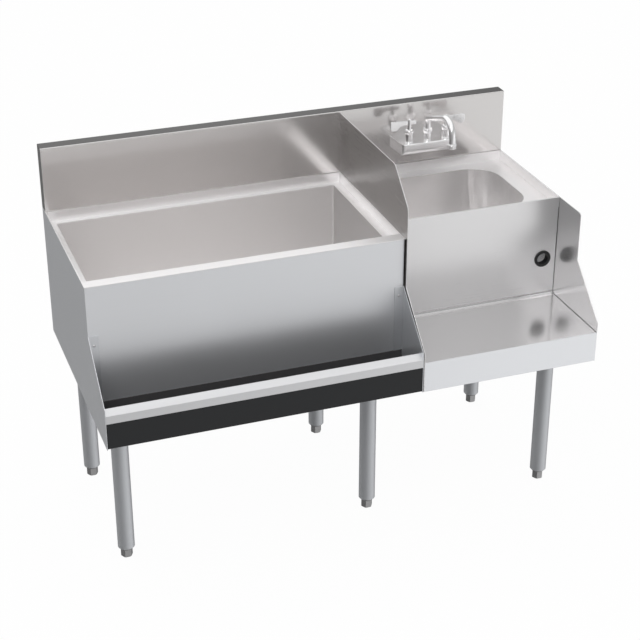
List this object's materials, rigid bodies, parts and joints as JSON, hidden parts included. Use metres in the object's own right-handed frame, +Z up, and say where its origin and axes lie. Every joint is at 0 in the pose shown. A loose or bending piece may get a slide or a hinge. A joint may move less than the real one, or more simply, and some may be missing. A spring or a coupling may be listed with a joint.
{
  "type": "bar sink with ice bin",
  "caption": "Stainless underbar station: insulated ice bin with a bottle rail in front, beside a hand sink with splash-mounted faucet and blender shelf, on adjustable legs.",
  "frame": {"origin": "on the floor under the middle of the unit's overall length and depth", "axes": "+X along the length to the user's right, +Y back to the wall, +Z up"},
  "size_m": [1.219, 0.61, 0.9399],
  "materials": {
    "satin_steel": "satin",
    "structure_steel": "satin",
    "chrome_plate": "polished",
    "black_rail": "satin",
    "black_plastic": "satin",
    "seal_rubber": "matte",
    "foam": "matte"
  },
  "bodies": {
    "root": {"backsplash": "satin_steel", "rear_panel": "satin_steel", "rear_cross_rail": "satin_steel", "divider_panel": "satin_steel", "right_end_panel": "satin_steel", "bin_front_panel": "satin_steel", "bin_left_panel": "satin_steel", "bin_right_panel": "satin_steel", "bin_bottom_pan": "satin_steel", "bin_top": "satin_steel", "bin_liner": "satin_steel", "bin_insulation": "foam", "bin_drain_body": "chrome_plate", "bin_drain_gasket": "seal_rubber", "bin_drain_nut": "chrome_plate", "bin_drain_screen": "satin_steel", "rail_trough": "black_rail", "rail_cap": "satin_steel", "rail_bracket_left": "satin_steel", "rail_bracket_right": "satin_steel", "rail_screws": "structure_steel", "sink_deck": "satin_steel", "sink_bowl": "satin_steel", "sink_front_panel": "satin_steel", "blender_shelf": "satin_steel", "cord_grommet": "black_plastic", "sink_drain_body": "chrome_plate", "sink_drain_gasket": "seal_rubber", "sink_drain_nut": "chrome_plate", "leg_channels": "structure_steel", "leg_sockets": "structure_steel", "leg_set_screws": "structure_steel", "leg_collars": "structure_steel", "leg_front_left": "satin_steel", "leg_front_middle": "satin_steel", "leg_front_right": "satin_steel", "leg_rear_left": "satin_steel", "leg_rear_middle": "satin_steel", "leg_rear_right": "satin_steel", "faucet_body": "chrome_plate", "faucet_shanks": "chrome_plate", "faucet_shank_nuts": "chrome_plate", "valve_bonnet_left": "chrome_plate", "valve_bonnet_right": "chrome_plate", "spout_nut": "chrome_plate"},
    "spout": {"spout": "chrome_plate", "aerator": "chrome_plate"},
    "left_handle": {"valve_stem_left": "chrome_plate", "handle_left": "chrome_plate", "handle_screw_left": "chrome_plate"},
    "right_handle": {"valve_stem_right": "chrome_plate", "handle_right": "chrome_plate", "handle_screw_right": "chrome_plate"},
    "drain_basket": {"sink_drain_basket": "satin_steel"},
    "foot_front_left": {"foot_front_left": "structure_steel"},
    "foot_front_middle": {"foot_front_middle": "structure_steel"},
    "foot_front_right": {"foot_front_right": "structure_steel"},
    "foot_rear_left": {"foot_rear_left": "structure_steel"},
    "foot_rear_middle": {"foot_rear_middle": "structure_steel"},
    "foot_rear_right": {"foot_rear_right": "structure_steel"}
  },
  "joints": [
    {"name": "spout_swivel", "type": "hinge", "parent": "root", "child": "spout", "pos_m": [0.3705, 0.2105, 0.857], "axis": [0, 0, 1], "range_deg": [-90, 90]},
    {"name": "left_valve_turn", "type": "hinge", "parent": "root", "child": "left_handle", "pos_m": [0.3197, 0.2105, 0.857], "axis": [0, 0, 1], "range_deg": [0, 90]},
    {"name": "right_valve_turn", "type": "hinge", "parent": "root", "child": "right_handle", "pos_m": [0.4213, 0.2105, 0.857], "axis": [0, 0, -1], "range_deg": [0, 90]},
    {"name": "drain_basket_lift", "type": "slide", "parent": "root", "child": "drain_basket", "axis": [0, 0, 1], "range_m": [0, 0.06]},
    {"name": "foot_front_left_screw", "type": "slide", "parent": "root", "child": "foot_front_left", "axis": [0, 0, -1], "range_m": [0, 0.025]},
    {"name": "foot_front_middle_screw", "type": "slide", "parent": "root", "child": "foot_front_middle", "axis": [0, 0, -1], "range_m": [0, 0.025]},
    {"name": "foot_front_right_screw", "type": "slide", "parent": "root", "child": "foot_front_right", "axis": [0, 0, -1], "range_m": [0, 0.025]},
    {"name": "foot_rear_left_screw", "type": "slide", "parent": "root", "child": "foot_rear_left", "axis": [0, 0, -1], "range_m": [0, 0.025]},
    {"name": "foot_rear_middle_screw", "type": "slide", "parent": "root", "child": "foot_rear_middle", "axis": [0, 0, -1], "range_m": [0, 0.025]},
    {"name": "foot_rear_right_screw", "type": "slide", "parent": "root", "child": "foot_rear_right", "axis": [0, 0, -1], "range_m": [0, 0.025]}
  ]
}
